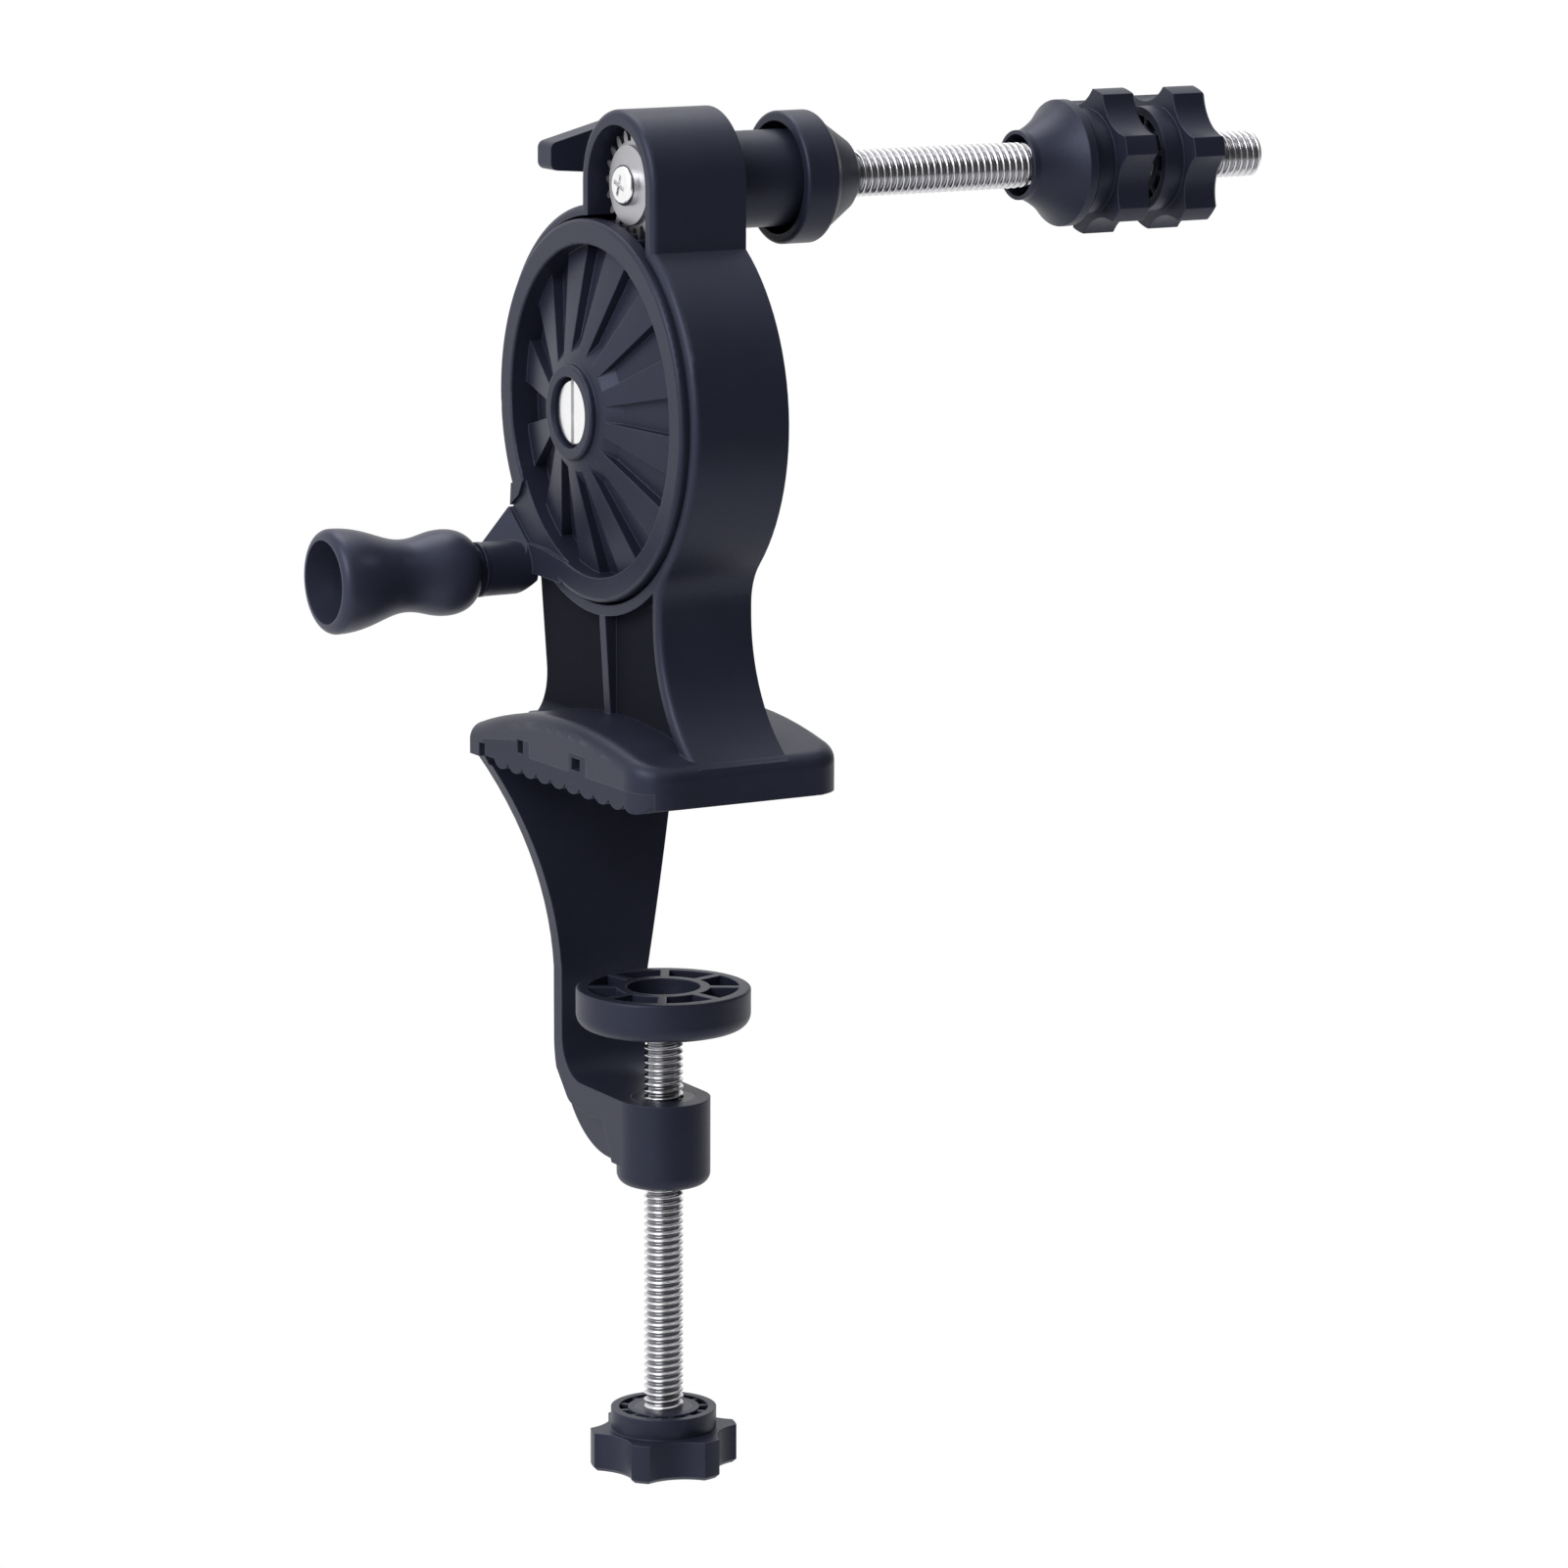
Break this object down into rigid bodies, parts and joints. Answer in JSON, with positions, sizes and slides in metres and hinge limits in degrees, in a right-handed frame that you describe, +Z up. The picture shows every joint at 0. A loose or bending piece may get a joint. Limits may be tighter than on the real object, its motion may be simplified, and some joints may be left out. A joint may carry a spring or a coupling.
{
  "type": "fishing line winder",
  "caption": "Hand-cranked fishing line winder with a table clamp: a toothed crank wheel drives a threaded spindle whose two cones grip a line spool.",
  "frame": {"origin": "on the clamp screw's axis, in the plane of the jaw pad's crests, where the table's top is", "axes": "+Z up along the clamp screw, +X along the spindle towards its free end, so the crank is on the -X side; +Y towards the clamp arm"},
  "size_m": [0.1986, 0.0837, 0.2821],
  "materials": {
    "black_plastic": "matte",
    "black_grip": "satin",
    "black_pad": "matte",
    "dark_bushing": "satin",
    "bright_steel": "bright zinc",
    "gear_steel": "satin"
  },
  "bodies": {
    "frame": {"housing": "black_plastic", "jaw_pad": "black_pad", "wheel_axle_screw": "bright_steel", "wheel_washer": "bright_steel", "axle_insert": "bright_steel", "front_bushing": "dark_bushing", "rear_bushing": "dark_bushing", "clamp_insert": "bright_steel"},
    "crank": {"crank_wheel": "black_plastic", "wheel_bushing": "dark_bushing", "handle_pin": "bright_steel", "handle_collar": "dark_bushing", "handle_washer": "bright_steel"},
    "grip": {"handle_grip": "black_grip"},
    "spindle": {"spindle_rod": "bright_steel", "pinion_gear": "gear_steel", "pinion_screw": "bright_steel", "pinion_spacer": "gear_steel", "drive_cone": "black_plastic", "drive_cone_insert": "bright_steel"},
    "cone_slider": {"sliding_cone": "black_plastic"},
    "cone_nut": {"cone_knob": "black_plastic", "cone_knob_insert": "bright_steel"},
    "lock_nut": {"lock_knob": "black_plastic", "lock_knob_insert": "bright_steel"},
    "clamp_pad": {"pressure_pad": "black_plastic"},
    "clamp_drive": {"clamp_screw": "bright_steel", "clamp_knob": "black_plastic", "clamp_knob_insert": "bright_steel", "pad_retainer": "bright_steel"}
  },
  "joints": [
    {"name": "crank_turn", "type": "hinge", "parent": "frame", "child": "crank", "pos_m": [0, 0.006, 0.07537], "axis": [1, 0, 0], "continuous": true},
    {"name": "grip_turn", "type": "hinge", "parent": "crank", "child": "grip", "pos_m": [-0.04, 0.03589, 0.03975], "axis": [1, 0, 0], "continuous": true},
    {"name": "spindle_turn", "type": "hinge", "parent": "frame", "child": "spindle", "pos_m": [0, -0.003, 0.1215], "axis": [1, 0, 0], "continuous": true},
    {"name": "cone_travel", "type": "slide", "parent": "spindle", "child": "cone_slider", "axis": [1, 0, 0], "range_m": [-0.039, 0.0155]},
    {"name": "cone_knob_turn", "type": "hinge", "parent": "cone_slider", "child": "cone_nut", "pos_m": [0.1, -0.003, 0.1215], "axis": [1, 0, 0], "continuous": true},
    {"name": "lock_knob_turn", "type": "hinge", "parent": "cone_slider", "child": "lock_nut", "pos_m": [0.117, -0.003, 0.1215], "axis": [1, 0, 0], "continuous": true},
    {"name": "pad_travel", "type": "slide", "parent": "frame", "child": "clamp_pad", "axis": [0, 0, 1], "range_m": [-0.0138, 0.043]},
    {"name": "clamp_screw_turn", "type": "hinge", "parent": "clamp_pad", "child": "clamp_drive", "pos_m": [0, 0, -0.1], "axis": [0, 0, 1], "continuous": true}
  ],
  "couplings": [
    {"joint": "spindle_turn", "follows": "crank_turn", "ratio": -3.7},
    {"joint": "cone_knob_turn", "follows": "cone_travel", "rad_per_m": 4188.8},
    {"joint": "lock_knob_turn", "follows": "cone_travel", "rad_per_m": 4188.8},
    {"joint": "clamp_screw_turn", "follows": "pad_travel", "rad_per_m": 4188.8}
  ]
}
